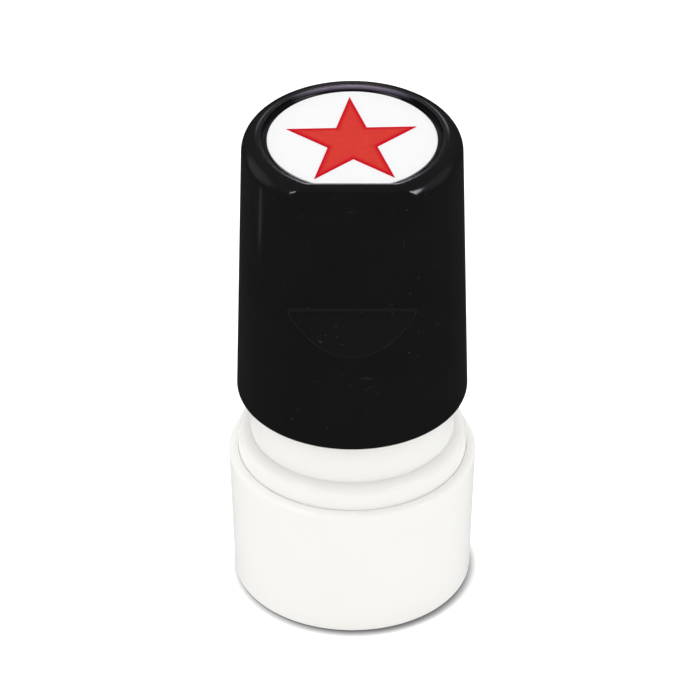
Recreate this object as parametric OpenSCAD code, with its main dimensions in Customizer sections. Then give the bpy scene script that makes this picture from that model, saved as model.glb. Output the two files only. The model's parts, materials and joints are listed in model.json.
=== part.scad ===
// Round pre-inked stamp: a handle that presses down over a sprung sleeve, standing in its dust cap.
// +Z is up, and the origin is the centre of the dust cap's foot. -Y is the front, where the thumb flat is.
// Inside, a plunger carries the ink pad and the printing die, and a coil spring holds them up off the paper.

/* [Dust cap] */
// Height of the dust cap, from the table to its rim
cap_h = 20.1; // [19.3:0.1:21.1]
// Outer diameter of the dust cap just below its rim
cap_rim_d = 33.5; // [33.3:0.1:34.5]
// Outer diameter of the dust cap at the table
cap_foot_d = 32.1; // [31.8:0.1:32.6]
// Wall of the dust cap at its rim
cap_wall = 1.3; // [1.2:0.05:1.4]

/* [Sleeve] */
// Height of the sleeve's shoulder above the table, where the neck begins
shoulder_z = 23.5; // [22.9:0.1:24]
// Radius of the rounded shoulder
shoulder_round = 1.5; // [0.6:0.1:1.5]
// Outer diameter of the neck that the handle slides over
neck_d = 27.6; // [27.2:0.1:27.7]
// Height of the neck's top edge above the table
neck_top_z = 40.5; // [37:0.5:40.5]

/* [Handle] */
// Height of the whole stamp, from the table to the handle's crown
overall_h = 70.6; // [70.4:0.1:73]
// Height of the handle's bottom edge above the table
handle_z = 30.2; // [29.6:0.1:32]
// Outer diameter of the handle at its bottom edge
handle_foot_d = 31.2; // [30.8:0.1:32]
// Outer diameter of the handle just below its rounded crown
handle_crown_d = 29.7; // [29.4:0.1:30.6]
// Radius of the rounded crown
crown_round = 2.4; // [1.6:0.1:2.5]

/* [Thumb flat] */
// Distance of the thumb flat from the axis, at the crown
flat_crown_off = 12; // [11.9:0.1:12.2]
// Distance of the thumb flat from the axis, at its lower end
flat_foot_off = 12.3; // [12.2:0.1:12.8]
// Height of the thumb flat's lower end above the table
flat_foot_z = 51; // [50:0.5:54]
// Slope of the ramp that runs the flat out into the round body, in degrees off upright
ramp_slope = 28; // [24:1:32]
// Radius of the rounded edge between the thumb flat and the crown
flat_edge_round = 1; // [0.6:0.1:1]

/* [Index plate] */
// Diameter of the recess in the crown
recess_d = 24.5; // [24:0.1:24.8]
// Depth of the recess below the crown
recess_depth = 0.9; // [0.8:0.1:1]
// Diameter of the index plate
index_d = 22.8; // [22:0.1:23.4]
// Thickness of the index plate
index_t = 0.4; // [0.3:0.1:0.5]
// Diameter of the circle through the star's tips
star_d = 18.2; // [16:0.1:19]
// Height of the printed star over a regular star's
star_stretch = 1.16; // [1:0.02:1.16]
// How far the printed star sits in front of the plate's centre
star_off = 0.6; // [0:0.1:0.6]
// Turn of the star on the index plate, in degrees
star_turn = 2; // [0:1:5]

/* [Mechanism] */
// How far the handle presses down
stroke = 5; // [3:0.5:5]
// Diameter of the plunger's stem
stem_d = 10; // [9:0.5:10]
// Wire diameter of the return spring
spring_wire_d = 0.9; // [0.7:0.1:1]
// Number of turns in the return spring
spring_turns = 8; // [6:1:10]

/* [Hidden] */
$fn = 96;
eps = 0.01;            // overshoot of a cut past the face it opens
wide = 60;             // wider than the whole stamp

// Gaps between neighbours
seam_gap = 0.2;        // between the dust cap and the sleeve's skirt
fit_gap = 0.08;        // between the dust cap's mouth and the sleeve's flange, which it grips
slide_gap = 0.15;      // between the neck and the handle
guide_gap = 0.08;      // between the stem and its guide
rest_gap = 0.1;        // between faces that stop each other
seat_gap = 0.05;       // between pieces that stay together

// Dust cap
cap_rim_r = cap_rim_d / 2;
cap_foot_r = cap_foot_d / 2;
cap_mouth_r = cap_rim_r - cap_wall;
cap_rim_round = 0.8;
cap_foot_round = 0.5;
cap_floor_z = 2;       // bottom of the well under the die
cap_ledge_z = 3;       // ledge that the sleeve's foot stands on
cap_well_r = 13.2;
cap_foot_land = 2.6;   // width of the ring that touches the table
cap_foot_recess = 0.5;
cap_mouth_depth = 2;   // depth of the wider mouth that takes the sleeve's flange
cap_bevel = 0.15;
cap_mouth_step = 0.35; // width of the step at the foot of that mouth
cap_foot_wall = 1.15;
cap_bore_top_r = cap_mouth_r - cap_mouth_step;
cap_bore_foot_r = cap_foot_r - cap_foot_wall;

// Sleeve
flange_r = cap_mouth_r - fit_gap;
flange_z = cap_h - cap_mouth_depth + rest_gap;
skirt_top_r = cap_bore_top_r - seam_gap;
skirt_foot_r = cap_bore_foot_r - seam_gap;
skirt_bore_r = 13.5;   // a running clearance over the plunger's cup
skirt_foot_z = cap_ledge_z + rest_gap / 2;
neck_r = neck_d / 2;
neck_wall = 1.4;
neck_bore_r = neck_r - neck_wall;
neck_fillet = 0.15;
edge_bevel = 0.3;
ledge_z = 24.5;        // underside of the ledge that the guide hub sits on
ledge_t = 0.8;
ledge_r = 11.6;

// Guide hub: a disc on the sleeve's ledge, with the stem's guide standing on it
hub_z = ledge_z + ledge_t + seat_gap;
hub_top_z = 26.5;
hub_r = neck_bore_r - seat_gap;
lug_w = 3;             // two lugs under the disc sit in notches in the ledge, so it can't turn
lug_in_r = 11;
lug_out_r = 12.1;
guide_r = 7.2;
guide_bore_r = stem_d / 2 + guide_gap;

// Plunger: a cup for the ink pad with a hollow stem on its roof
cup_r = 13.1;
cup_bore_r = 11.4;
cup_top_z = ledge_z - rest_gap;
cup_roof_t = 2.4;
cup_mouth_z = 9.9;
bezel_step_z = 12.4;   // where the cup's wall steps in to take the bezel
bezel_step_r = 12.2;
stem_r = stem_d / 2;
retainer_z = 52;       // underside of the spring retainer
retainer_t = 2;
retainer_seat_r = 4.4;
snap_bead_r = 4.75;
snap_bead_t = 0.6;
spigot_z = retainer_z + retainer_t + seat_gap + snap_bead_t;
spigot_r = 3.55;
spigot_top_z = 66.5;
ink_bore_r = 2;
key_w = 1.6;           // the two keys on the stem stop the die turning in the sleeve
key_r = stem_r + 1;
guide_top_z = retainer_z - stroke - rest_gap;

// Ink pad, die and bezel
pad_z = 12;            // where the pad rests on the die
die_face_z = skirt_foot_z + stroke - rest_gap;   // the star stands just proud of the foot when pressed
die_relief = 0.9;
die_plateau_r = 9.8;
bezel_z = 9;
bezel_lip_t = 0.9;
bezel_mouth_r = 10;

// Spring
spring_r = 8.1;
spring_wire_r = spring_wire_d / 2;
spring_foot_z = hub_top_z + spring_wire_r;
spring_top_z = retainer_z - spring_wire_r;
closed_pitch = spring_wire_d * 1.06;
steps_per_turn = 20;
wire_sides = 8;

// Handle
handle_foot_r = handle_foot_d / 2;
handle_crown_r = handle_crown_d / 2;
handle_foot_round = 0.3;
crown_side_z = overall_h - crown_round;          // where the side ends and the crown's round begins
recess_r = recess_d / 2;
recess_floor_z = overall_h - recess_depth;
lip_t = 0.1;           // level top of the lip between the recess and the flat's rounded edge
recess_flat_off = flat_crown_off - flat_edge_round - lip_t;
skirt_cavity_r = neck_r + slide_gap;
skirt_cavity_z = 46;   // top of the wide cavity that takes the neck
core_cavity_r = 13.1;
flat_wall = 1.6;
crown_wall = 1.8;
core_cavity_flat = flat_crown_off - flat_wall;
core_cavity_z = recess_floor_z - crown_wall;
socket_r = 5.4;
socket_bore_r = spigot_r + seat_gap;
socket_z = spigot_z + seat_gap;
rib_t = 1;
rib_z = 60;
n_ribs = 4;
rib_root = 0.3;        // how far a rib runs into the socket and the wall

// Index plate
index_r = index_d / 2;
index_z = recess_floor_z;
index_front_gap = 0.3;
index_flat_off = recess_flat_off - index_front_gap;
star_t = 0.1;
star_r = star_d / 2;
star_waist = sin(18) / sin(54);                  // inner over outer radius of a regular five-pointed star

// What a round takes off a square corner at a point. The corner faces out and up, turned by an angle
module corner_off(point, round, turn = 0) {
    translate(point) rotate(turn) translate([-round, -round]) difference() {
        square(round + eps);
        circle(round);
    }
}

// A turned solid from its outline, given as [radius, height] points, less what its children cut from that
module turned(outline) {
    rotate_extrude() difference() {
        polygon(outline);
        children();
    }
}

// Ring with square edges between two radii
module ring(r_in, r_out, z0, z1) {
    turned([[r_in, z0], [r_out, z0], [r_out, z1], [r_in, z1]]);
}

// Disc that is flat on its front side, at flat_off from the axis
module flatted_disc(r, flat_off, z0, z1) {
    intersection() {
        translate([0, 0, z0]) cylinder(r = r, h = z1 - z0);
        translate([-wide / 2, -flat_off, z0 - eps]) cube([wide, wide, z1 - z0 + 2 * eps]);
    }
}

// Five-pointed star with one tip away from the front, regular unless stretched front to back
module star(z0, z1, stretch = 1) {
    points = [for (i = [0:9])
        let (r = i % 2 == 0 ? star_r : star_r * star_waist, a = 90 + 36 * i)
        r * [cos(a), stretch * sin(a)]];
    translate([0, 0, z0]) linear_extrude(height = z1 - z0) polygon(points);
}

module dust_cap() {
    color("whitesmoke") turned([
        [0, cap_foot_recess], [cap_foot_r - cap_foot_land - cap_foot_recess, cap_foot_recess],
        [cap_foot_r - cap_foot_land, 0], [cap_foot_r, 0], [cap_foot_r, cap_foot_round],
        [cap_rim_r, cap_h - cap_rim_round], [cap_rim_r, cap_h],
        [cap_mouth_r + cap_bevel, cap_h], [cap_mouth_r, cap_h - cap_bevel],
        [cap_mouth_r, cap_h - cap_mouth_depth], [cap_bore_top_r, cap_h - cap_mouth_depth],
        [cap_bore_foot_r, cap_ledge_z], [cap_well_r, cap_ledge_z],
        [cap_well_r, cap_floor_z], [0, cap_floor_z]]) {
        corner_off([cap_foot_r, 0], cap_foot_round, -90);
        corner_off([cap_rim_r, cap_h], cap_rim_round);
    }
}

module sleeve() {
    color("whitesmoke") difference() {
        turned([
            [skirt_bore_r + edge_bevel, skirt_foot_z], [skirt_foot_r - edge_bevel, skirt_foot_z],
            [skirt_foot_r, skirt_foot_z + edge_bevel], [skirt_top_r, flange_z], [flange_r, flange_z],
            [flange_r, shoulder_z], [neck_r + neck_fillet, shoulder_z], [neck_r, shoulder_z + neck_fillet],
            [neck_r, neck_top_z - edge_bevel], [neck_r - edge_bevel, neck_top_z],
            [neck_bore_r + edge_bevel, neck_top_z], [neck_bore_r, neck_top_z - edge_bevel],
            [neck_bore_r, ledge_z + ledge_t], [ledge_r, ledge_z + ledge_t], [ledge_r, ledge_z],
            [skirt_bore_r, ledge_z], [skirt_bore_r, skirt_foot_z + edge_bevel]])
            corner_off([flange_r, shoulder_z], shoulder_round);
        // notches for the guide hub's lugs
        cross_bar(neck_bore_r, lug_w + 2 * seat_gap, ledge_z - eps, ledge_z + ledge_t + eps);
    }
}

module guide_hub() {
    lug_z = ledge_z + rest_gap;
    color("gainsboro") difference() {
        union() {
            turned([
                [guide_bore_r, hub_z], [hub_r, hub_z], [hub_r, hub_top_z], [guide_r, hub_top_z],
                [guide_r, guide_top_z], [guide_bore_r, guide_top_z]]);
            for (turn = [0, 180]) rotate(turn)
                translate([lug_in_r, -lug_w / 2, lug_z])
                    cube([lug_out_r - lug_in_r, lug_w, hub_z - lug_z + eps]);
        }
        // keyways for the stem's two keys
        cross_bar(key_r + guide_gap, key_w + 2 * guide_gap, hub_z - eps, guide_top_z + eps);
    }
}

// Bar along X across the axis, from -r to r
module cross_bar(r, w, z0, z1) {
    translate([-r, -w / 2, z0]) cube([2 * r, w, z1 - z0]);
}

// Height of the wire's centre after t turns: closed turns at both ends, evenly pitched turns between
function spring_z(t) =
    let (climb = spring_top_z - spring_foot_z,
         pitch = (climb - 2 * closed_pitch) / (spring_turns - 2))
    spring_foot_z
        + closed_pitch * (min(t, 1) + max(t - (spring_turns - 1), 0))
        + pitch * min(max(t - 1, 0), spring_turns - 2);

module return_spring() {
    rings = spring_turns * steps_per_turn;
    points = [for (i = [0:rings], k = [0:wire_sides - 1])
        let (t = i / steps_per_turn,
             around = 360 * t,
             a = 360 * k / wire_sides,
             r = spring_r + spring_wire_r * cos(a))
        [r * cos(around), r * sin(around), spring_z(t) + spring_wire_r * sin(a)]];
    sides = [for (i = [0:rings - 1], k = [0:wire_sides - 1])
        let (next = (k + 1) % wire_sides)
        [i * wire_sides + k, (i + 1) * wire_sides + k, (i + 1) * wire_sides + next, i * wire_sides + next]];
    ends = [[for (k = [0:wire_sides - 1]) k],
            [for (k = [wire_sides - 1:-1:0]) rings * wire_sides + k]];
    color("silver") polyhedron(points, concat(sides, ends), convexity = 10);
}

module plunger() {
    key_foot_z = cup_top_z - 1;          // the keys root in the cup's roof
    color("gainsboro") {
        turned([
            [cup_bore_r, cup_mouth_z], [bezel_step_r, cup_mouth_z], [bezel_step_r, bezel_step_z],
            [cup_r, bezel_step_z], [cup_r, cup_top_z - edge_bevel], [cup_r - edge_bevel, cup_top_z],
            [stem_r, cup_top_z], [stem_r, retainer_z], [retainer_seat_r, retainer_z],
            [retainer_seat_r, retainer_z + retainer_t + seat_gap],
            [snap_bead_r, retainer_z + retainer_t + seat_gap], [snap_bead_r - edge_bevel, spigot_z],
            [spigot_r, spigot_z], [spigot_r, spigot_top_z - edge_bevel],
            [spigot_r - edge_bevel, spigot_top_z], [ink_bore_r, spigot_top_z],
            [ink_bore_r, cup_top_z - cup_roof_t], [cup_bore_r, cup_top_z - cup_roof_t]]);
        difference() {
            cross_bar(key_r, key_w, key_foot_z, retainer_z - rest_gap);
            translate([0, 0, key_foot_z - eps]) cylinder(r = stem_r - edge_bevel, h = retainer_z);
        }
    }
}

// Collar snapped on the stem: it holds the spring down, and stops the stroke on top of the guide
module spring_retainer() {
    bore_r = retainer_seat_r + seat_gap;
    rim_h = 1.2;                         // how far the rim reaches down round the spring
    rim_in_r = spring_r + spring_wire_r + 0.3;
    rim_out_r = rim_in_r + 0.9;
    top_z = retainer_z + retainer_t;
    color("dimgray") turned([
        [bore_r, retainer_z], [rim_in_r, retainer_z], [rim_in_r, retainer_z - rim_h],
        [rim_out_r, retainer_z - rim_h], [rim_out_r, top_z - edge_bevel],
        [rim_out_r - edge_bevel, top_z], [bore_r, top_z]]);
}

// Stopper in the top of the hollow stem, pulled out to add ink
module filler_plug() {
    shank_r = ink_bore_r - seat_gap;
    shank_z = spigot_top_z - 6;
    lead_in = 0.4;
    head_r = 3.1;
    head_top_z = spigot_top_z + 0.8;
    head_bevel = 0.2;
    color("firebrick") turned([
        [0, shank_z], [shank_r - lead_in, shank_z], [shank_r, shank_z + 2 * lead_in],
        [shank_r, spigot_top_z], [head_r, spigot_top_z], [head_r, head_top_z - head_bevel],
        [head_r - head_bevel, head_top_z], [0, head_top_z]]);
}

module ink_pad() {
    color("crimson") translate([0, 0, pad_z])
        cylinder(r = cup_bore_r - rest_gap, h = cup_top_z - cup_roof_t - rest_gap - pad_z);
}

module porous_die() {
    base_r = cup_bore_r - rest_gap;
    color("darkred") {
        turned([
            [0, die_face_z + die_relief], [die_plateau_r, die_face_z + die_relief],
            [die_plateau_r, cup_mouth_z + seat_gap], [base_r, cup_mouth_z + seat_gap],
            [base_r, pad_z - seat_gap], [0, pad_z - seat_gap]]);
        star(die_face_z, die_face_z + die_relief + eps);
    }
}

// Ring snapped over the cup's mouth: its lip holds the die in
module die_bezel() {
    color("black") turned([
        [bezel_mouth_r, bezel_z], [cup_r - edge_bevel, bezel_z], [cup_r, bezel_z + edge_bevel],
        [cup_r, bezel_step_z - seat_gap], [bezel_step_r + seat_gap, bezel_step_z - seat_gap],
        [bezel_step_r + seat_gap, bezel_z + bezel_lip_t], [bezel_mouth_r, bezel_z + bezel_lip_t]]);
}

// What is taken off the round handle for the thumb flat, the ramp below it and the rounded edge above it
module thumb_cut() {
    ramp_drop = 8;
    rotate([90, 0, 90]) translate([0, 0, -wide / 2]) linear_extrude(height = wide) {
        polygon([[-wide, overall_h + 1], [-flat_crown_off, overall_h + 1], [-flat_crown_off, overall_h],
            [-flat_foot_off, flat_foot_z],
            [-flat_foot_off - ramp_drop * tan(ramp_slope), flat_foot_z - ramp_drop],
            [-wide, flat_foot_z - ramp_drop]]);
        corner_off([-flat_crown_off, overall_h], flat_edge_round, 90);
    }
}

module handle_shell() {
    color([0.03, 0.03, 0.03]) {
        difference() {
            turned([
                [0, handle_z], [handle_foot_r, handle_z], [handle_foot_r, handle_z + handle_foot_round],
                [handle_crown_r, crown_side_z], [handle_crown_r, overall_h], [0, overall_h]]) {
                corner_off([handle_foot_r, handle_z], handle_foot_round, -90);
                corner_off([handle_crown_r, overall_h], crown_round);
            }
            thumb_cut();
            flatted_disc(recess_r, recess_flat_off, recess_floor_z, overall_h + 1);
            translate([0, 0, handle_z - 1]) cylinder(r = skirt_cavity_r, h = skirt_cavity_z - handle_z + 1);
            flatted_disc(core_cavity_r, core_cavity_flat, skirt_cavity_z - eps, core_cavity_z);
        }
        ring(socket_bore_r, socket_r, socket_z, core_cavity_z + eps);
        for (i = [0:n_ribs - 1]) rotate(45 + 360 / n_ribs * i)
            translate([socket_r - rib_root, -rib_t / 2, rib_z])
                cube([core_cavity_r - socket_r + 2 * rib_root, rib_t, core_cavity_z - rib_z + eps]);
    }
}

module index_plate() {
    color("white") flatted_disc(index_r, index_flat_off, index_z, index_z + index_t);
}

module index_star() {
    color("red") translate([0, -star_off, 0]) rotate(star_turn)
        star(index_z + index_t, index_z + index_t + star_t, star_stretch);
}

dust_cap();
sleeve();
guide_hub();
return_spring();
plunger();
spring_retainer();
filler_plug();
ink_pad();
porous_die();
die_bezel();
handle_shell();
index_plate();
index_star();
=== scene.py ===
import json
import math
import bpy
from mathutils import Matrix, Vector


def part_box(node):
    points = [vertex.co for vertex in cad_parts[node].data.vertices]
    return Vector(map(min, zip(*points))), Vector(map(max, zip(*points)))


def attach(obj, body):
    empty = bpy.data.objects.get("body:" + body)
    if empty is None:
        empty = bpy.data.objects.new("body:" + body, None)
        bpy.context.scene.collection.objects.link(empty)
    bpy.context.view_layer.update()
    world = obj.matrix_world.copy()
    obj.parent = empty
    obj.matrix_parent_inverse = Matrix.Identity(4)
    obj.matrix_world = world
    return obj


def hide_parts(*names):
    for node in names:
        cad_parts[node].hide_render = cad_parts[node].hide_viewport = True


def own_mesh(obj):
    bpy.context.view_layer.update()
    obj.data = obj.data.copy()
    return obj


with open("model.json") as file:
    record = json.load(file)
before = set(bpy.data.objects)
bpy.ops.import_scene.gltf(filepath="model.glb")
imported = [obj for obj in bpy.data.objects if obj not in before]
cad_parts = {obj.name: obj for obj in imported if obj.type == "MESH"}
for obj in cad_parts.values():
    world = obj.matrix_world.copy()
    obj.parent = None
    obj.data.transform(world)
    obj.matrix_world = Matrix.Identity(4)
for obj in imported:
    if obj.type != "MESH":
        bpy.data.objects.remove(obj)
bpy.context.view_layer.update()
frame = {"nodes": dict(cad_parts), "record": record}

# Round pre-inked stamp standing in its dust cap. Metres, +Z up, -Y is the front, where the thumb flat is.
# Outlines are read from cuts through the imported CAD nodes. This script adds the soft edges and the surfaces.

from types import SimpleNamespace

import bmesh
import bpy
from mathutils import Vector

MM = 0.001

# Turns about Z, from +X
FRONT = math.radians(-90)
SIDE = 0.0
BACK = math.radians(90)

# Tolerances for reading the CAD meshes, in metres
WELD = 1e-7
PLANE_SLACK = 1e-8
ON_AXIS = 1e-6
LEVEL = 1e-9
SAME_POINT = 2e-6
STRAIGHT = 5e-6


# ---------------------------------------------------------------- outlines from the CAD nodes

def cut_edges(node, turn):
    """Where the half-plane at that turn about Z cuts a CAD node: pairs of (radius, height) points."""
    out = Vector((math.cos(turn), math.sin(turn), 0))
    mesh = bmesh.new()
    mesh.from_mesh(frame["nodes"][node].data)
    bmesh.ops.remove_doubles(mesh, verts=mesh.verts, dist=WELD)
    everything = mesh.verts[:] + mesh.edges[:] + mesh.faces[:]
    bmesh.ops.bisect_plane(mesh, geom=everything, dist=PLANE_SLACK, plane_co=(0, 0, 0),
                           plane_no=(-out.y, out.x, 0), clear_inner=True, clear_outer=True)
    pairs = []
    for edge in mesh.edges:
        a, b = [(v.co.dot(out), v.co.z) for v in edge.verts]
        if max(a[0], b[0]) < ON_AXIS:
            continue
        if min(a[0], b[0]) < -ON_AXIS:
            share = a[0] / (a[0] - b[0])
            axis_point = (0.0, a[1] + share * (b[1] - a[1]))
            a, b = (axis_point, b) if a[0] < 0 else (a, axis_point)
        pairs.append((a, b))
    mesh.free()
    return pairs


def crossings(pairs, at, along):
    """Sorted places where a cut's edges cross a line: along 0 at that radius, along 1 at that height."""
    found = []
    for a, b in pairs:
        lo, hi = sorted((a[along], b[along]))
        if lo <= at <= hi and hi - lo > LEVEL:
            share = (at - a[along]) / (b[along] - a[along])
            found.append(a[1 - along] + share * (b[1 - along] - a[1 - along]))
    found.sort()
    return [v for i, v in enumerate(found) if i == 0 or v - found[i - 1] > SAME_POINT]


def outline(node, turn):
    """The cut as one ordered list of corners, without the points that lie along its straight lines."""
    links = {}
    for a, b in cut_edges(node, turn):
        ka, kb = [(round(p[0] / SAME_POINT), round(p[1] / SAME_POINT)) for p in (a, b)]
        if ka != kb:
            links.setdefault(ka, set()).add(kb)
            links.setdefault(kb, set()).add(ka)
    ends = [k for k in links if len(links[k]) == 1]
    path = [min(ends) if ends else min(links)]
    while True:
        onward = [k for k in sorted(links[path[-1]]) if k not in path]
        if not onward:
            break
        path.append(onward[0])
    points = [(k[0] * SAME_POINT, k[1] * SAME_POINT) for k in path]
    closed = not ends
    kept = []
    for i, p in enumerate(points):
        before = kept[-1] if kept else points[-1]
        after = points[(i + 1) % len(points)]
        inside = closed or 0 < i < len(points) - 1
        if inside and off_line(p, before, after) < STRAIGHT:
            continue
        kept.append(p)
    return kept, closed


def off_line(p, a, b):
    """Distance of p from the line through a and b."""
    length = math.dist(a, b)
    if length < LEVEL:
        return math.dist(p, a)
    return abs((b[0] - a[0]) * (p[1] - a[1]) - (b[1] - a[1]) * (p[0] - a[0])) / length


def soft(points, closed, radius, guard=0.15 * MM, steps=6):
    """The outline with each sharp corner rounded.
    A guard point beside each bend keeps straight walls shading straight."""
    least_bend = math.radians(25)
    room_share = 0.45
    n = len(points)
    made = []
    for i, p in enumerate(points):
        if not closed and i in (0, n - 1):
            made.append(p)
            continue
        a, c = Vector(points[i - 1]), Vector(points[(i + 1) % n])
        b = Vector(p)
        into, away = b - a, c - b
        turn = into.angle(away)
        if turn < least_bend:
            made.append(p)
            continue
        room = room_share * min(into.length, away.length)
        tangent = min(radius * math.tan(turn / 2), room)
        start = b - into.normalized() * tangent
        end = b + away.normalized() * tangent
        for k in range(steps + 1):
            t = k / steps
            q = start * (1 - t) ** 2 + b * 2 * t * (1 - t) + end * t ** 2
            made.append((q.x, q.y))
    guarded = []
    count = len(made)
    for i, p in enumerate(made):
        guarded.append(p)
        if i == count - 1 and not closed:
            break
        q = made[(i + 1) % count]
        span = math.dist(p, q)
        if span > 3 * guard:
            share = guard / span
            guarded.append((p[0] + share * (q[0] - p[0]), p[1] + share * (q[1] - p[1])))
            guarded.append((q[0] - share * (q[0] - p[0]), q[1] - share * (q[1] - p[1])))
    return guarded


# ---------------------------------------------------------------- meshes

BOX_SIDES = [(0, 1, 3, 2), (4, 6, 7, 5), (0, 4, 5, 1), (2, 3, 7, 6), (0, 2, 6, 4), (1, 5, 7, 3)]
SIDEWAYS = 0.3      # the thumb flat is worked out only where the cosine of the turn from the front is more


def smin(a, b, k):
    """The smaller of two, blended over k."""
    h = max(k - abs(a - b), 0) / k
    return min(a, b) - h * h * k / 4


def smax(a, b, k):
    return -smin(-a, -b, k)


def quarter(steps):
    """Angles from 0 to a right angle."""
    return [math.radians(90 * i / steps) for i in range(steps + 1)]


def even_turns(count):
    return [2 * math.pi * i / count for i in range(count)]


def front_turns(fine, coarse, limit):
    """Turns from the front that are close together within the limit, where the flat is. All in degrees."""
    fine, coarse, limit = [math.radians(v) for v in (fine, coarse, limit)]
    fine_count = round(limit / fine)
    near = [i * limit / fine_count for i in range(-fine_count, fine_count + 1)]
    rest = 2 * math.pi - 2 * limit
    coarse_count = round(rest / coarse)
    return near + [limit + rest * i / coarse_count for i in range(1, coarse_count)]


def skin(name, rows, turns, closed, edge=0.2 * MM):
    """A closed surface of rings. A row is (radius, flat's distance from the axis or None, height).
    A radius of 0 closes the surface at the axis. Turns are measured from the front, -Y."""
    verts, rings, faces = [], [], []
    for radius, flat, z in rows:
        if radius < ON_AXIS:
            rings.append([len(verts)])
            verts.append((0, 0, z))
            continue
        ring = []
        for t in turns:
            away = radius
            if flat is not None and math.cos(t) > SIDEWAYS:
                away = smin(radius, flat / math.cos(t), edge)
            ring.append(len(verts))
            verts.append((away * math.sin(t), -away * math.cos(t), z))
        rings.append(ring)
    n = len(turns)
    last = len(rings) if closed else len(rings) - 1
    for i in range(last):
        low, high = rings[i], rings[(i + 1) % len(rings)]
        for k in range(n):
            m = (k + 1) % n
            if len(low) == 1:
                faces.append((low[0], high[m], high[k]))
            elif len(high) == 1:
                faces.append((low[k], low[m], high[0]))
            else:
                faces.append((low[k], low[m], high[m], high[k]))
    return mesh_object(name, verts, faces)


def scene_object(name, data):
    made = bpy.data.objects.new(name, data)
    bpy.context.scene.collection.objects.link(made)
    return made


def mesh_object(name, verts, faces):
    data = bpy.data.meshes.new(name)
    data.from_pydata([tuple(v) for v in verts], [], faces)
    work = bmesh.new()
    work.from_mesh(data)
    bmesh.ops.recalc_face_normals(work, faces=work.faces)
    for face in work.faces:
        face.smooth = True
    work.to_mesh(data)
    work.free()
    return scene_object(name, data)


def stage_quad(name, corners):
    """A flat four-cornered stage piece, which isn't part of the object."""
    data = bpy.data.meshes.new(name)
    data.from_pydata([tuple(c) for c in corners], [], [(0, 1, 2, 3)])
    return scene_object(name, data)


def lathe(name, node, turn, radius, count=192):
    """A round CAD node made again from its outline, with its corners rounded."""
    points, closed = outline(node, turn)
    rows = [(r, None, z) for r, z in soft(points, closed, radius)]
    return skin(name, rows, even_turns(count), closed)


def mark_points(piece, name, values):
    """Stores one number for each vertex, for the piece's material to read."""
    piece.data.attributes.new(name, "FLOAT", "POINT").data.foreach_set("value", values)


def cut_box(piece, lo, hi):
    """Takes a box out of a piece."""
    corners = [(x, y, z) for x in (lo[0], hi[0]) for y in (lo[1], hi[1]) for z in (lo[2], hi[2])]
    tool = mesh_object("cutter", corners, BOX_SIDES)
    cutter = piece.modifiers.new("cut", "BOOLEAN")
    cutter.operation = "DIFFERENCE"
    cutter.object = tool
    bake_modifiers(piece)
    bpy.data.objects.remove(tool)


def bake_modifiers(piece):
    graph = bpy.context.evaluated_depsgraph_get()
    baked = bpy.data.meshes.new_from_object(piece.evaluated_get(graph))
    piece.modifiers.clear()
    piece.data = baked


# ---------------------------------------------------------------- node trees

def colour_socket(sockets, name=None):
    """The colour socket of that name, or the first colour socket."""
    return [s for s in sockets if s.type == "RGBA" and name in (None, s.name)][0]


class Nodes:
    """Adds nodes to a tree."""

    ramp = "LINEAR"

    def __init__(self, tree):
        self.tree = tree

    def add(self, kind, **settings):
        node = self.tree.nodes.new(kind)
        for key, value in settings.items():
            setattr(node, key, value)
        return node

    def link(self, source, target):
        self.tree.links.new(source, target)

    def span(self, source, from_lo, from_hi, to_lo, to_hi):
        """The source carried over from one range to the other, and held at its ends."""
        node = self.add("ShaderNodeMapRange", interpolation_type=self.ramp)
        node.inputs["From Min"].default_value = from_lo
        node.inputs["From Max"].default_value = from_hi
        node.inputs["To Min"].default_value = to_lo
        node.inputs["To Max"].default_value = to_hi
        self.link(source, node.inputs["Value"])
        return node.outputs["Result"]

    def math(self, operation, a, b):
        node = self.add("ShaderNodeMath", operation=operation)
        for i, value in enumerate((a, b)):
            if isinstance(value, (int, float)):
                node.inputs[i].default_value = value
            else:
                self.link(value, node.inputs[i])
        return node.outputs["Value"]

    def mix(self, fac, a, b):
        """Colour a where fac is 0 and b where it is 1. A colour is a tuple or a socket."""
        node = self.add("ShaderNodeMix", data_type="RGBA")
        self.link(fac, node.inputs["Factor"])
        for key, value in (("A", a), ("B", b)):
            socket = colour_socket(node.inputs, key)
            if isinstance(value, tuple):
                socket.default_value = (*value, 1)
            else:
                self.link(value, socket)
        return colour_socket(node.outputs)


# ---------------------------------------------------------------- materials

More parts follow.
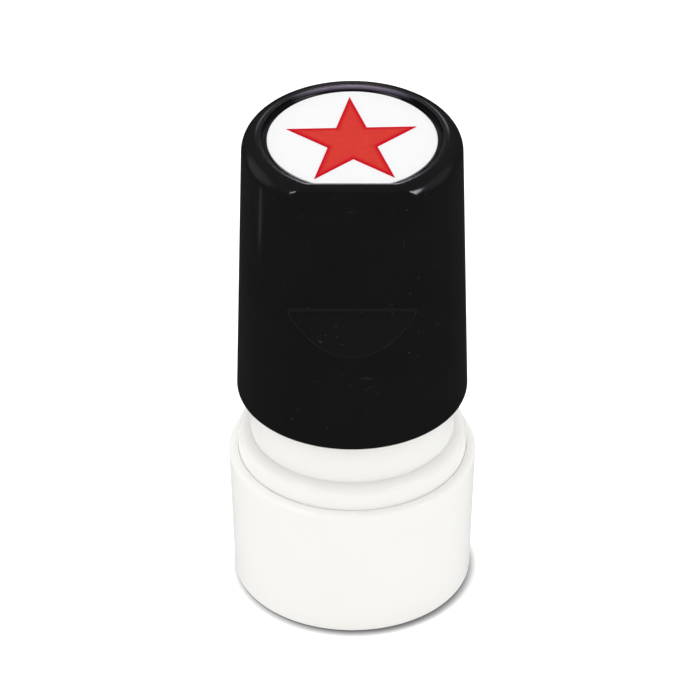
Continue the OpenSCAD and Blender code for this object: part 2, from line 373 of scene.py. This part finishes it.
class Look(Nodes):
    """A node material around one Principled shader. Noise scales are per metre."""

    def __init__(self, material):
        super().__init__(material.node_tree)
        self.material = material
        self.shader = self.tree.nodes["Principled BSDF"]
        self.place = self.add("ShaderNodeTexCoord").outputs["Object"]

    @classmethod
    def new(cls, name, **values):
        material = bpy.data.materials.new(name)
        material.use_nodes = True
        look = cls(material)
        for key, value in values.items():
            look.shader.inputs[key.replace("_", " ")].default_value = value
        return look

    def noise(self, scale, detail=2, rough=0.5, stretch=None):
        node = self.add("ShaderNodeTexNoise")
        node.inputs["Scale"].default_value = scale
        node.inputs["Detail"].default_value = detail
        node.inputs["Roughness"].default_value = rough
        self.link(self.stretched(stretch), node.inputs["Vector"])
        return node.outputs["Fac"]

    def stretched(self, stretch):
        if stretch is None:
            return self.place
        mapping = self.add("ShaderNodeMapping")
        mapping.inputs["Scale"].default_value = stretch
        self.link(self.place, mapping.inputs["Vector"])
        return mapping.outputs["Vector"]

    def specks(self, scale, size, share):
        """1 in the middle of a few scattered grains, 0 elsewhere. That share of the cells has a grain."""
        step = 0.01
        cells = self.add("ShaderNodeTexVoronoi")
        cells.inputs["Scale"].default_value = scale
        self.link(self.place, cells.inputs["Vector"])
        near = self.span(cells.outputs["Distance"], size, 0.0, 0.0, 1.0)
        parts = self.add("ShaderNodeSeparateColor")
        self.link(cells.outputs["Color"], parts.inputs["Color"])
        chosen = self.span(parts.outputs["Red"], 1 - share, 1 - share + step, 0.0, 1.0)
        return self.math("MULTIPLY", near, chosen)

    def hairline(self, scale, stretch):
        """1 along a few short thin wandering lines, 0 elsewhere."""
        width = 0.004
        bits_scale, bits_from, bits_to = scale * 1.7, 0.64, 0.70
        away = self.math("ABSOLUTE", self.math("SUBTRACT", self.noise(scale, 1, 0.4, stretch), 0.5), 0)
        line = self.span(away, 0.0, width, 1.0, 0.0)
        bits = self.span(self.noise(bits_scale, 1), bits_from, bits_to, 0.0, 1.0)
        return self.math("MULTIPLY", line, bits)

    def contrast(self, source, spread=0.15):
        """A noise drawn apart to 0 and 1, which it reaches that spread under and over its middle."""
        return self.span(source, 0.5 - spread, 0.5 + spread, 0, 1)

    def attribute(self, name):
        return self.add("ShaderNodeAttribute", attribute_name=name).outputs["Fac"]

    def colour(self, source):
        self.link(source, self.shader.inputs["Base Color"])

    def rough(self, source, low, high, spread=0.2):
        """Roughness from a noise: low and high where the noise is that spread under and over its middle."""
        self.link(self.span(source, 0.5 - spread, 0.5 + spread, low, high), self.shader.inputs["Roughness"])

    def bump(self, source, depth):
        """Height is source times depth, in metres. Bumps add up."""
        node = self.add("ShaderNodeBump")
        node.inputs["Strength"].default_value = 1.0
        node.inputs["Distance"].default_value = depth
        self.link(source, node.inputs["Height"])
        normal = self.shader.inputs["Normal"]
        if normal.is_linked:
            self.link(normal.links[0].from_socket, node.inputs["Normal"])
        self.link(node.outputs["Normal"], normal)


def moulded_plastic(name, pale, deep, roughness, ior, speck, dusty=0.07, scratched=0.0, **values):
    """Moulded plastic: faint mottling, a fine texture, slight waves, dust and hairline scratches."""
    mottle, patches, texture, waves = 90, 60, 1900, 160
    texture_depth, wave_depth = 0.0016 * MM, 0.010 * MM
    coarse_grain, fine_grain = (520, 0.12), (900, 0.14)
    upright, level = (1, 1, 0.35), (0.4, 0.4, 1)
    uneven = 0.12
    look = Look.new(name, IOR=ior, **values)
    mottled = look.mix(look.contrast(look.noise(mottle, 4)), deep, pale)
    grains = look.math("MAXIMUM", look.specks(*coarse_grain, dusty), look.specks(*fine_grain, dusty))
    hairs = look.math("ADD", look.hairline(140, upright), look.hairline(210, level))
    marks = look.math("MAXIMUM", grains, look.math("MULTIPLY", hairs, scratched))
    look.colour(look.mix(marks, mottled, speck))
    look.rough(look.noise(patches, 3), roughness * (1 - uneven), roughness * (1 + uneven))
    look.bump(look.noise(texture, 2), texture_depth)
    look.bump(look.noise(waves, 2), wave_depth)
    return look.material


def white_plastic():
    return moulded_plastic("white_plastic", (0.862, 0.853, 0.822), (0.853, 0.844, 0.812), 0.14, 1.46,
                           (0.80, 0.78, 0.74), Specular_IOR_Level=0.10, Sheen_Weight=0.9,
                           Sheen_Roughness=0.4, Subsurface_Weight=0.5, Subsurface_Scale=0.4 * MM,
                           Subsurface_Radius=(1, 1, 1))


def black_plastic():
    """Black plastic, with a painted reflection: a greyish lilac colour on the back of the recess's wall round
    the index plate.
    """
    painted_reflection_grey = (0.44, 0.365, 0.51)
    made = moulded_plastic("black_plastic", (0.0070, 0.0070, 0.0073), (0.0060, 0.0060, 0.0063), 0.13, 1.5,
                           (0.034, 0.032, 0.032), dusty=0.28, scratched=0.35)
    look = Look(made)
    # Painted reflection: greyish lilac mixed into the colour, in patches, on the back of the recess's wall
    patches = look.span(look.noise(420, 3), 0.3, 0.7, 0.75, 1.0)
    patchy_painted_reflection = look.math("MULTIPLY", look.attribute("painted_reflection"), patches)
    plain = look.shader.inputs["Base Color"].links[0].from_socket
    look.colour(look.mix(patchy_painted_reflection, plain, painted_reflection_grey))
    return made


def core_plastic():
    return moulded_plastic("core_plastic", (0.60, 0.60, 0.575), (0.57, 0.57, 0.55), 0.38, 1.46,
                           (0.5, 0.49, 0.46))


def plug_plastic():
    return moulded_plastic("plug_plastic", (0.30, 0.020, 0.018), (0.25, 0.016, 0.015), 0.4, 1.46,
                           (0.4, 0.1, 0.09))


def steel_wire():
    look = Look.new("spring_steel", Metallic=1.0)
    drawn = look.noise(700, 3, 0.6)
    look.colour(look.mix(look.noise(160, 3), (0.50, 0.50, 0.51), (0.64, 0.63, 0.61)))
    look.rough(drawn, 0.20, 0.38)
    look.bump(drawn, 0.004 * MM)
    return look.material


def print_card():
    look = Look.new("index_card", IOR=1.4)
    fibre = look.noise(2600, 3, 0.6, (1, 0.3, 1))
    look.colour(look.mix(fibre, (0.825, 0.827, 0.832), (0.85, 0.852, 0.857)))
    look.rough(look.noise(700, 2), 0.36, 0.5)
    look.bump(fibre, 0.0018 * MM)
    return look.material


def printed_red():
    """Red ink, with a deeper crimson along the print's edge."""
    look = Look.new("red_print", IOR=1.4, Specular_IOR_Level=0.02)
    uneven = look.noise(900, 4, 0.65)
    crimson = (0.53, 0.0, 0.012)
    ink = look.mix(look.contrast(uneven), (0.575, 0.038, 0.028), (0.615, 0.045, 0.033))
    look.colour(look.mix(look.attribute("print_edge"), ink, crimson))
    look.rough(uneven, 0.32, 0.46)
    look.bump(uneven, 0.002 * MM)
    return look.material


def soft_rubber():
    look = Look.new("porous_rubber", IOR=1.45)
    pores = look.noise(2400, 3, 0.7)
    look.colour(look.mix(look.contrast(pores, 0.1), (0.12, 0.006, 0.008), (0.30, 0.016, 0.016)))
    look.rough(pores, 0.75, 0.55)
    look.bump(pores, 0.03 * MM)
    return look.material


def felt():
    look = Look.new("ink_felt", IOR=1.4, Roughness=0.95, Sheen_Weight=0.4)
    fibres = look.noise(1500, 5, 0.75, (1, 1, 2.5))
    look.colour(look.mix(look.contrast(fibres), (0.22, 0.010, 0.012), (0.46, 0.030, 0.028)))
    look.bump(fibres, 0.12 * MM)
    return look.material


FINISHES = {
    "white_plastic": white_plastic(),
    "black_plastic": black_plastic(),
    "core_plastic": core_plastic(),
    "spring_steel": steel_wire(),
    "plug_plastic": plug_plastic(),
    "ink_felt": felt(),
    "porous_rubber": soft_rubber(),
    "index_card": print_card(),
    "red_print": printed_red(),
}
SLOT_OF = {part["node"]: part["material_slot"] for part in frame["record"]["subparts"]}
BODY_OF = {node: body for body, nodes in frame["record"]["behaviour"]["bodies"].items() for node in nodes}


def give_finish(data, node):
    data.materials.clear()
    data.materials.append(FINISHES[SLOT_OF[node]])


def stands_for(piece, node):
    """The piece takes over one CAD node: its body and its finish."""
    give_finish(piece.data, node)
    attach(piece, BODY_OF[node])
    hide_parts(node)
    return piece


for node_name, cad_node in frame["nodes"].items():
    give_finish(cad_node.data, node_name)


# ---------------------------------------------------------------- dust cap and sleeve

# The flange fills most of its clearance in the cap's mouth, and blends back into the shoulder
FLANGE_SNUG = 0.077 * MM
FLANGE_BLEND = 1.5 * MM
CAP_ROUND = 0.05 * MM
SLEEVE_ROUND = 0.14 * MM


def widen_flange(sleeve):
    flange_r = max(math.hypot(v.co.x, v.co.y) for v in sleeve.data.vertices)
    for v in sleeve.data.vertices:
        near = max(1 - (flange_r - math.hypot(v.co.x, v.co.y)) / FLANGE_BLEND, 0)
        grow = 1 + FLANGE_SNUG * near * near * (3 - 2 * near) / flange_r
        v.co.x *= grow
        v.co.y *= grow


def cut_lug_notches(sleeve):
    """Notches in the sleeve's ledge for the guide hub's two lugs."""
    room, ledge_t, below = 0.05 * MM, 0.8 * MM, 0.2 * MM
    lo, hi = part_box("guide_hub")
    lug_level = lo.z + 0.1 * MM
    hub = frame["nodes"]["guide_hub"].data
    lug_half = max(abs(v.co.y) for v in hub.vertices if v.co.z < lug_level) + room
    cut_box(sleeve, (-hi.x, -lug_half, lo.z - below), (hi.x, lug_half, lo.z + ledge_t))


def build_sleeve():
    sleeve = lathe("sleeve_moulding", "sleeve", BACK, SLEEVE_ROUND)
    widen_flange(sleeve)
    cut_lug_notches(sleeve)
    for face in sleeve.data.polygons:
        face.use_smooth = True
    sleeve.data.set_sharp_from_angle(angle=math.radians(40))
    return sleeve


stands_for(lathe("dust_cap_moulding", "dust_cap", SIDE, CAP_ROUND), "dust_cap")
stands_for(build_sleeve(), "sleeve")


# ---------------------------------------------------------------- handle

LIP_ROUND = 0.07 * MM          # the crown's narrow level lip, rounded into the recess
RECESS_ROUND = 0.1 * MM        # foot of the recess's wall
BEVEL = 0.1 * MM               # corners of the underside
CREASE_BLEND = 0.5 * MM        # between the thumb flat and its ramp
PAINTED_REFLECTION_FROM = 0.74               # share of the recess's radius, towards the back, where the painted reflection begins


def read_handle():
    """Two cuts through the handle, and the levels and radii of its hollows that are read off them."""
    back = cut_edges("handle_shell", SIDE)
    front = cut_edges("handle_shell", FRONT)
    lo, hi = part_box("handle_shell")
    over_step, over_cavity, over_socket = 13.5 * MM, 9 * MM, 4.5 * MM
    in_skirt, in_cavity, in_recess = lo.z + 5 * MM, 57 * MM, hi.z - 0.4 * MM
    ceiling_z, recess_floor = crossings(back, over_cavity, 0)[:2]
    socket_bore, socket_r, core_r = crossings(back, in_cavity, 1)[:3]
    return SimpleNamespace(
        back=back, front=front, foot_z=lo.z, crown_z=hi.z,
        step_z=crossings(back, over_step, 0)[0],
        ceiling_z=ceiling_z, recess_floor=recess_floor,
        socket_z=crossings(back, over_socket, 0)[0],
        bore=crossings(back, in_skirt, 1)[0],
        socket_bore=socket_bore, socket_r=socket_r, core_r=core_r,
        core_flat=crossings(front, in_cavity, 1)[2],
        recess_r=crossings(back, in_recess, 1)[0],
        recess_flat=crossings(front, in_recess, 1)[0])


def handle_outside(h):
    """Rows of the handle's outside, from the foot to the crown."""
    def outside(pairs, z):
        inset = 1e-8
        return crossings(pairs, min(max(z, h.foot_z + inset), h.crown_z - inset), 1)[-1]

    # The thumb flat and its ramp are two straight lines in the front cut
    def line_through(z0, z1):
        y0, y1 = outside(h.front, z0), outside(h.front, z1)
        slope = (y1 - y0) / (z1 - z0)
        return y0 - slope * z0, slope

    flat_levels, ramp_levels = (54 * MM, 66 * MM), (46.5 * MM, 49.5 * MM)
    flat_at, flat_slope = line_through(*flat_levels)
    ramp_at, ramp_slope = line_through(*ramp_levels)
    crease_z = (ramp_at - flat_at) / (flat_slope - ramp_slope)
    below_lip = h.crown_z - 0.3 * MM
    round_start = max(z for pair in h.front for r, z in pair
                      if z < below_lip and abs(r - flat_at - flat_slope * z) < STRAIGHT)

    def front_wall(z):
        if z > round_start:
            return outside(h.front, z)
        return smax(flat_at + flat_slope * z, ramp_at + ramp_slope * z, CREASE_BLEND)

    def corners(pairs, wanted):
        return {round(z, 8) for pair in pairs for r, z in pair if wanted(r, z)}

    # Heights of the rows: the cuts' own corners, then close rows along the ramp and its crease
    below_round = h.crown_z - 2.3 * MM
    side_start = max(z for pair in h.back for r, z in pair if z < below_round)
    foot_r, foot_top = h.bore + 0.2 * MM, h.foot_z + 0.31 * MM
    lip_r, lip_flat = h.recess_r + 0.1 * MM, h.recess_flat + 0.05 * MM
    heights = corners(h.back + h.front, lambda r, z: r > foot_r and z < foot_top)
    heights |= corners(h.back, lambda r, z: z > side_start - ON_AXIS and r > lip_r)
    heights |= corners(h.front, lambda r, z: z > round_start - ON_AXIS and r > lip_flat)
    ramp_foot, ramp_head, ramp_rows = crease_z - 6.2 * MM, crease_z + 0.6 * MM, 52
    heights |= {ramp_foot + (ramp_head - ramp_foot) * i / ramp_rows for i in range(ramp_rows + 1)}
    guard, skirt_z = 0.15 * MM, 38 * MM
    heights |= {h.foot_z + 3 * guard, side_start - guard, round_start - guard, round_start, skirt_z}
    heights |= {crease_z + up for up in (1.2 * MM, 6 * MM, 12 * MM)}
    least_step = 0.004 * MM
    spaced = []
    for z in sorted(heights):
        if not spaced or z - spaced[-1] > least_step:
            spaced.append(z)
    return [(outside(h.back, z), front_wall(z), z) for z in spaced]


def handle_crest(h):
    """Rows from the crown's lip over into the recess, and along its floor to the axis."""
    rows = []
    for a in quarter(6):
        out = LIP_ROUND - LIP_ROUND * math.sin(a)
        rows.append((h.recess_r + out, h.recess_flat + out, h.crown_z - LIP_ROUND + LIP_ROUND * math.cos(a)))
    rows.append((h.recess_r, h.recess_flat, h.recess_floor + 3 * RECESS_ROUND))
    for a in quarter(4):
        inward = RECESS_ROUND - RECESS_ROUND * math.cos(a)
        rows.append((h.recess_r - inward, h.recess_flat - inward,
                     h.recess_floor + RECESS_ROUND - RECESS_ROUND * math.sin(a)))
    floor_edge = 1 * MM
    rows.append((h.recess_r - floor_edge, h.recess_flat - floor_edge, h.recess_floor))
    rows.append((0, None, h.recess_floor))
    return rows


def handle_underside(h):
    """Rows from the axis down the socket, over the core cavity and out to the foot."""
    b = BEVEL
    return [
        (0, None, h.ceiling_z),
        (h.socket_bore - b, None, h.ceiling_z), (h.socket_bore, None, h.ceiling_z - b),
        (h.socket_bore, None, h.socket_z + 2 * b), (h.socket_bore + b, None, h.socket_z),
        (h.socket_r - b, None, h.socket_z), (h.socket_r, None, h.socket_z + b),
        (h.socket_r, None, h.ceiling_z - 3 * b), (h.socket_r + 2 * b, None, h.ceiling_z),
        (h.core_r - 3 * b, h.core_flat - 3 * b, h.ceiling_z), (h.core_r, h.core_flat, h.ceiling_z - 3 * b),
        (h.core_r, h.core_flat, h.step_z + b), (h.core_r + b, h.core_flat + b, h.step_z),
        (h.bore - b, None, h.step_z), (h.bore, None, h.step_z - b),
        (h.bore, None, h.foot_z + 3 * b), (h.bore + 2 * b, None, h.foot_z)]


def add_ribs(handle, h):
    """Four ribs that brace the socket."""
    half, foot_z, root = 0.5 * MM, 60 * MM, 0.25 * MM
    mesh = bmesh.new()
    mesh.from_mesh(handle.data)
    for i in range(4):
        a = math.radians(45 + 90 * i)
        along, across = Vector((math.cos(a), math.sin(a), 0)), Vector((-math.sin(a), math.cos(a), 0))
        corners = [along * r + across * s * half + Vector((0, 0, z))
                   for z in (foot_z, h.ceiling_z + root) for r in (h.socket_r - root, h.core_r + root)
                   for s in (-1, 1)]
        verts = [mesh.verts.new(c) for c in corners]
        sides = [mesh.faces.new([verts[k] for k in side]) for side in BOX_SIDES]
        bmesh.ops.recalc_face_normals(mesh, faces=sides)
    mesh.to_mesh(handle.data)
    mesh.free()


def build_handle():
    h = read_handle()
    rows = handle_underside(h) + handle_outside(h) + handle_crest(h)
    handle = skin("handle_moulding", rows, front_turns(0.4, 2, 40), False)
    add_ribs(handle, h)
    handle.data.set_sharp_from_angle(angle=math.radians(50))
    wall_foot, wall_head = h.recess_floor + 1.5 * RECESS_ROUND, h.crown_z - 0.5 * LIP_ROUND

    def painted_reflection_at(point):
        """The painted reflection lies on the back of the recess's wall, and thins out towards its foot and
        sides.
        """
        on_wall = abs(math.hypot(point.x, point.y) - h.recess_r) < ON_AXIS
        if not on_wall or not wall_foot < point.z < wall_head:
            return 0.0
        rise = (point.z - h.recess_floor) / (h.crown_z - h.recess_floor)
        return rise * max(point.y / h.recess_r - PAINTED_REFLECTION_FROM, 0) / (1 - PAINTED_REFLECTION_FROM)

    # Marks the back of the recess's wall, where the black plastic's colour carries the painted reflection
    mark_points(handle, "painted_reflection", [painted_reflection_at(v.co) for v in handle.data.vertices])
    return handle


stands_for(build_handle(), "handle_shell")


# ---------------------------------------------------------------- index plate and its star

def build_plate():
    lo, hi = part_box("index_plate")
    radius, flat = hi.y, -lo.y
    edge, corner_blend = 0.07 * MM, 0.06 * MM
    rows = [(0, None, lo.z), (radius - edge, flat - edge, lo.z), (radius, flat, lo.z + edge),
            (radius, flat, hi.z - 2 * edge)]
    for a in quarter(4):
        inward = edge - edge * math.cos(a)
        rows.append((radius - inward, flat - inward, hi.z - edge + edge * math.sin(a)))
    for inward in (0.4 * MM, 3 * MM):
        rows.append((radius - inward, flat - inward, hi.z))
    rows.append((0, None, hi.z))
    return skin("index_card_disc", rows, front_turns(0.5, 2, 32), False, corner_blend)


def moved_in(corners, by):
    """A polygon's corners, with each side moved in."""
    moved = []
    for i, c in enumerate(corners):
        before, after = corners[i - 1], corners[(i + 1) % len(corners)]
        u, w = (c - before).normalized(), (after - c).normalized()
        nu, nw = Vector((-u.y, u.x)), Vector((-w.y, w.x))
        bisector = (nu + nw).normalized()
        moved.append(c + bisector * (by / bisector.dot(nu)))
    return moved


def build_star():
    """The printed star: a thin raised layer, deeper in colour along its edge, where the ink gathers."""
    lo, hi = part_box("index_star")
    seen = {(round(v.co.x, 6), round(v.co.y, 6)) for v in frame["nodes"]["index_star"].data.vertices}
    centre = sum((Vector(c) for c in seen), Vector((0, 0))) / len(seen)
    corners = sorted((Vector(c) for c in seen), key=lambda c: math.atan2(c.y - centre.y, c.x - centre.x))
    sides = len(corners)

    # Rings from the foot of the edge to near the middle: distance in from the edge, height, depth of colour
    edge = 0.02 * MM
    rings = ((0, lo.z, 1.0), (0, hi.z - edge, 1.0), (edge, hi.z, 1.0), (0.18 * MM, hi.z, 1.0),
             (0.42 * MM, hi.z, 0.5), (0.8 * MM, hi.z, 0.05))
    verts, shade = [], []
    for by, z, depth in rings:
        for c in moved_in(corners, by):
            verts.append((c.x, c.y, z))
            shade.append(depth)
    faces = [tuple(range(sides))]
    for s in range(len(rings) - 1):
        for i in range(sides):
            m = (i + 1) % sides
            faces.append((s * sides + i, s * sides + m, (s + 1) * sides + m, (s + 1) * sides + i))
    top = (len(rings) - 1) * sides
    verts.append((centre.x, centre.y, hi.z))
    shade.append(0.0)
    faces += [(top + i, top + (i + 1) % sides, len(verts) - 1) for i in range(sides)]
    star = mesh_object("printed_star", verts, faces)
    for face in star.data.polygons:
        face.use_smooth = False
    mark_points(star, "print_edge", shade)
    return star


stands_for(build_plate(), "index_plate")
stands_for(build_star(), "index_star")


# ---------------------------------------------------------------- return spring and ink pad

def build_spring():
    """A coil with one closed turn at each end."""
    lo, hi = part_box("return_spring")
    wire_r = 0.45 * MM
    closed_pitch = 2.12        # of the closed turns, in wire radii
    coil_r = hi.x - wire_r
    turns, per_turn, around = 8, 40, 12
    foot, head = lo.z + wire_r, hi.z - wire_r
    closed = wire_r * closed_pitch
    pitch = (head - foot - 2 * closed) / (turns - 2)
    path = []
    for i in range(turns * per_turn + 1):
        t = i / per_turn
        rise = closed * (min(t, 1) + max(t - (turns - 1), 0)) + pitch * min(max(t - 1, 0), turns - 2)
        path.append((2 * math.pi * t, foot + rise))
    verts = []
    for a, z in path:
        for b in even_turns(around):
            r = coil_r + wire_r * math.cos(b)
            verts.append((r * math.cos(a), r * math.sin(a), z + wire_r * math.sin(b)))
    faces = []
    for i in range(len(path) - 1):
        for k in range(around):
            m = (k + 1) % around
            faces.append((i * around + k, i * around + m, (i + 1) * around + m, (i + 1) * around + k))
    faces.append(tuple(range(around)))
    faces.append(tuple(range(len(verts) - around, len(verts))))
    spring = mesh_object("coil_spring", verts, faces)
    spring.data.set_sharp_from_angle(angle=math.radians(50))
    return spring


coil = stands_for(build_spring(), "return_spring")
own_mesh(coil)


def build_pad():
    """Ink felt: a full, slightly crowned disc with a soft edge and an uneven, fibrous face."""
    lo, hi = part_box("ink_pad")
    side_room, face_room = 0.06 * MM, 0.02 * MM
    radius, edge, crown = hi.x - side_room, 0.9 * MM, 0.12 * MM
    flat_r = radius - edge
    inset = edge + face_room + crown
    halves = []
    for way, centre in ((-1, lo.z + inset), (1, hi.z - inset)):
        arc = [(flat_r + edge * math.sin(a), None, centre + way * edge * math.cos(a)) for a in quarter(8)]
        face = [(flat_r * s, None, arc[0][2] + way * crown * (1 - s * s)) for s in (0.2, 0.4, 0.6, 0.8)]
        halves.append(face + arc)
    rows = halves[0] + halves[1][::-1]
    rows = [(0, None, rows[0][2])] + rows + [(0, None, rows[-1][2])]
    pad = skin("felt_pad", rows, even_turns(96), False)
    # Two crossed waves, in radians per metre
    unevenness, wave_x, wave_y, wave_z, shift = 0.03 * MM, 2900, 3300, 2100, 1.3
    for v in pad.data.vertices:
        wave = math.sin(v.co.x * wave_x + shift) * math.sin(v.co.y * wave_y + v.co.z * wave_z)
        v.co.z += unevenness * wave
    return pad


stands_for(build_pad(), "ink_pad")


# ---------------------------------------------------------------- floor, light and camera

def upward(elevation):
    """Direction to the back, that many degrees over the horizon."""
    return (0, math.cos(math.radians(elevation)), math.sin(math.radians(elevation)))


OVERHEAD, FRONTWARD, RIGHTWARD = (0, 0, 1), (0, -1, 0), (1, 0, 0)

# Floor
FLOOR_HALF, FLOOR_Z = 6.0, -0.02 * MM
CONTACT_REACH = 1.5 * MM
CONTACT_LEAN = (-0.34, 0.70, 0.63)
CONTACT_RANGE = (0.30, 0.97)        # openness at the darkest, and where the contact shade ends
# Colour of the painted contact shadow on the floor
PAINTED_CONTACT_SHADOW_GREY = (0.22, 0.22, 0.225)
FLOOR_GLOW = 0.3

# Even light on everything, at the horizon and overhead, and a small lamp. A range is of the
# cosine from overhead.
SKY_LOW, SKY_HIGH = 1.24, 1.00
SKY_RANGE = (-0.1, 1.0)
KEY_POWER, KEY_WIDTH = 0.35, math.radians(6)
KEY_FROM = (-0.06, 0.05, 1)

# What glossy surfaces mirror: a dark surround, a glow along the front horizon, and soft lamps.
# A lamp is its direction, its inner and outer angle in degrees, and its strength.
SURROUND_LOW, SURROUND_HIGH = 0.03, 0.11
SURROUND_RANGE = (-0.2, 1.0)
SURROUND_TOP = (0, 0.1, 0.99)
MIRROR_TINT = (0.96, 0.91, 1.0)
HORIZON_GLOW = 0.32
LAMPS = {
    "left flat corner": ((-0.626, -0.53, 0.574), 8, 15, 9.0),
    "right flat corner": ((0.737, -0.414, 0.535), 8, 18, 9.0),
    "left side": ((-0.93, 0.30, 0.20), 8, 28, 0.30),
    "right side": ((0.93, 0.10, 0.30), 8, 28, 0.18),
    "left inner edge": ((-0.17, 0.88, 0.44), 2, 6, 1.0),
    "right inner edge": ((0.17, 0.88, 0.44), 2, 6, 1.5),
    "front lip": (upward(44), 3, 6, 8.0),
    "low strip": (upward(12), 2, 7, 0.15),
    "middle strip": (upward(19), 2, 7, 0.15),
    "high strip": (upward(26), 2, 7, 0.15),
}
CARD_AT = Vector((-104.6 * MM, 23.6 * MM, -0.5 * MM))
CARD_TURN = math.radians(19)
CARD_LENGTH, CARD_WIDTH = 16 * MM, 7 * MM
CARD_GLOW = 0.28

# Camera
TILT = math.radians(35.7)
LENS, SENSOR, DISTANCE, FAR = 514.3, 36, 1.351, 30
TARGET = Vector((-0.3 * MM, 0, 35.6 * MM))


def build_floor():
    """White paper with a painted contact shadow, seen by the camera alone: its colour darkens close to what
    stands on it, most in front and to the right.
    """
    floor = stage_quad("floor", [(x * FLOOR_HALF, y * FLOOR_HALF, FLOOR_Z)
                                 for x, y in ((-1, -1), (1, -1), (1, 1), (-1, 1))])
    look = Look.new("floor_paper", Roughness=0.9, Specular_IOR_Level=0.0, Emission_Color=(1, 1, 1, 1))
    paper = look.mix(look.noise(14, 3), (0.955, 0.955, 0.955), (0.965, 0.965, 0.965))
    contact = look.add("ShaderNodeAmbientOcclusion", samples=24)
    contact.inputs["Distance"].default_value = CONTACT_REACH
    lean = look.add("ShaderNodeCombineXYZ")
    for socket, value in zip(lean.inputs, Vector(CONTACT_LEAN).normalized()):
        socket.default_value = value
    look.link(lean.outputs["Vector"], contact.inputs["Normal"])
    direct = look.add("ShaderNodeLightPath").outputs["Is Camera Ray"]
    # Painted contact shadow: for camera rays, the colour turns grey where the ambient-occlusion node finds the
    # floor closed in
    near = look.math("MULTIPLY", look.span(contact.outputs["AO"], *CONTACT_RANGE, 1.0, 0.0), direct)
    look.colour(look.mix(near, paper, PAINTED_CONTACT_SHADOW_GREY))
    # Away from the painted shadow, the floor glows a little, for camera rays only
    lit = look.math("SUBTRACT", direct, near)
    look.link(look.math("MULTIPLY", lit, FLOOR_GLOW), look.shader.inputs["Emission Strength"])
    floor.data.materials.append(look.material)
    floor.visible_glossy = False


def build_card():
    """A small dim light card low on the left, seen in reflections only: a streak on the handle's side."""
    along = Vector((math.cos(CARD_TURN), -math.sin(CARD_TURN), 0)) * CARD_LENGTH / 2
    across = Vector((math.sin(CARD_TURN), math.cos(CARD_TURN), 0)) * CARD_WIDTH / 2
    card = stage_quad("light_card", [CARD_AT + along * i + across * k
                                     for i, k in ((-1, -1), (1, -1), (1, 1), (-1, 1))])
    look = Look.new("light_card", Emission_Strength=CARD_GLOW, Emission_Color=(1, 1, 1, 1),
                    Specular_IOR_Level=0.0, Base_Color=(0, 0, 0, 1))
    card.data.materials.append(look.material)
    card.visible_camera = False
    card.visible_diffuse = False
    card.visible_shadow = False


class Sky(Nodes):
    """World nodes that give a value for each direction."""

    ramp = "SMOOTHSTEP"

    def __init__(self, world):
        world.use_nodes = True
        super().__init__(world.node_tree)
        self.way = self.add("ShaderNodeTexCoord").outputs["Generated"]

    def toward(self, direction):
        """Cosine of the angle from a direction."""
        node = self.add("ShaderNodeVectorMath", operation="DOT_PRODUCT")
        self.link(self.way, node.inputs[0])
        node.inputs[1].default_value = Vector(direction).normalized()
        return node.outputs["Value"]

    def lamp(self, direction, inner, outer, strength):
        """A round soft lamp: full inside the inner angle, nothing outside the outer one, in degrees."""
        edges = [math.cos(math.radians(a)) for a in (outer, inner)]
        return self.span(self.toward(direction), *edges, 0, strength)

    def horizon_glow(self):
        """A band a little below the horizon in front, weaker straight ahead. The ranges are of cosines."""
        sunk, full, gone = 0.12, 0.02, 0.14
        front_range, aside_range, ahead_share = (0.74, 0.86), (0.1, 0.4), 0.45
        level = self.math("ABSOLUTE", self.math("ADD", self.toward(OVERHEAD), sunk), 0)
        band = self.span(level, full, gone, 1, 0)
        band = self.math("MULTIPLY", band, self.span(self.toward(FRONTWARD), *front_range, 0, 1))
        aside = self.math("ABSOLUTE", self.toward(RIGHTWARD), 0)
        band = self.math("MULTIPLY", band, self.span(aside, *aside_range, ahead_share, 1))
        return self.math("MULTIPLY", band, HORIZON_GLOW)


def build_world():
    """An even bright studio. What glossy surfaces mirror is darker, with soft lamps in it, as on a product
    stage with black cards round it."""
    world = bpy.data.worlds.new("studio")
    sky = Sky(world)
    bpy.context.scene.world = world
    even = sky.span(sky.toward(OVERHEAD), *SKY_RANGE, SKY_LOW, SKY_HIGH)
    mirrored = sky.span(sky.toward(SURROUND_TOP), *SURROUND_RANGE, SURROUND_LOW, SURROUND_HIGH)
    mirrored = sky.math("ADD", mirrored, sky.horizon_glow())
    for lamp in LAMPS.values():
        mirrored = sky.math("ADD", mirrored, sky.lamp(*lamp))
    glossy = sky.add("ShaderNodeLightPath").outputs["Is Glossy Ray"]
    difference = sky.math("SUBTRACT", mirrored, even)
    seen = sky.math("ADD", even, sky.math("MULTIPLY", difference, glossy))
    background = sky.tree.nodes["Background"]
    sky.link(seen, background.inputs["Strength"])
    sky.link(sky.mix(glossy, (1, 1, 1), MIRROR_TINT), background.inputs["Color"])
    world.cycles.sampling_method = "NONE"


def build_key():
    """A small lamp almost overhead, a little behind and to the left."""
    data = bpy.data.lights.new("key", "SUN")
    data.energy = KEY_POWER
    data.angle = KEY_WIDTH
    lamp = scene_object("key", data)
    lamp.rotation_euler = Vector(KEY_FROM).to_track_quat("Z", "Y").to_euler()
    lamp.visible_glossy = False


def build_camera():
    """A long lens from the front, looking down at the stamp."""
    data = bpy.data.cameras.new("camera")
    data.sensor_width = SENSOR
    data.lens = LENS
    data.clip_end = FAR
    camera = scene_object("camera", data)
    camera.location = TARGET + DISTANCE * Vector((0, -math.cos(TILT), math.sin(TILT)))
    camera.rotation_euler = (math.radians(90) - TILT, 0, 0)
    bpy.context.scene.camera = camera


build_floor()
build_card()
build_world()
build_key()
build_camera()
bpy.context.scene.view_settings.view_transform = "Standard"
bpy.context.scene.view_settings.look = "None"


bpy.context.view_layer.update()
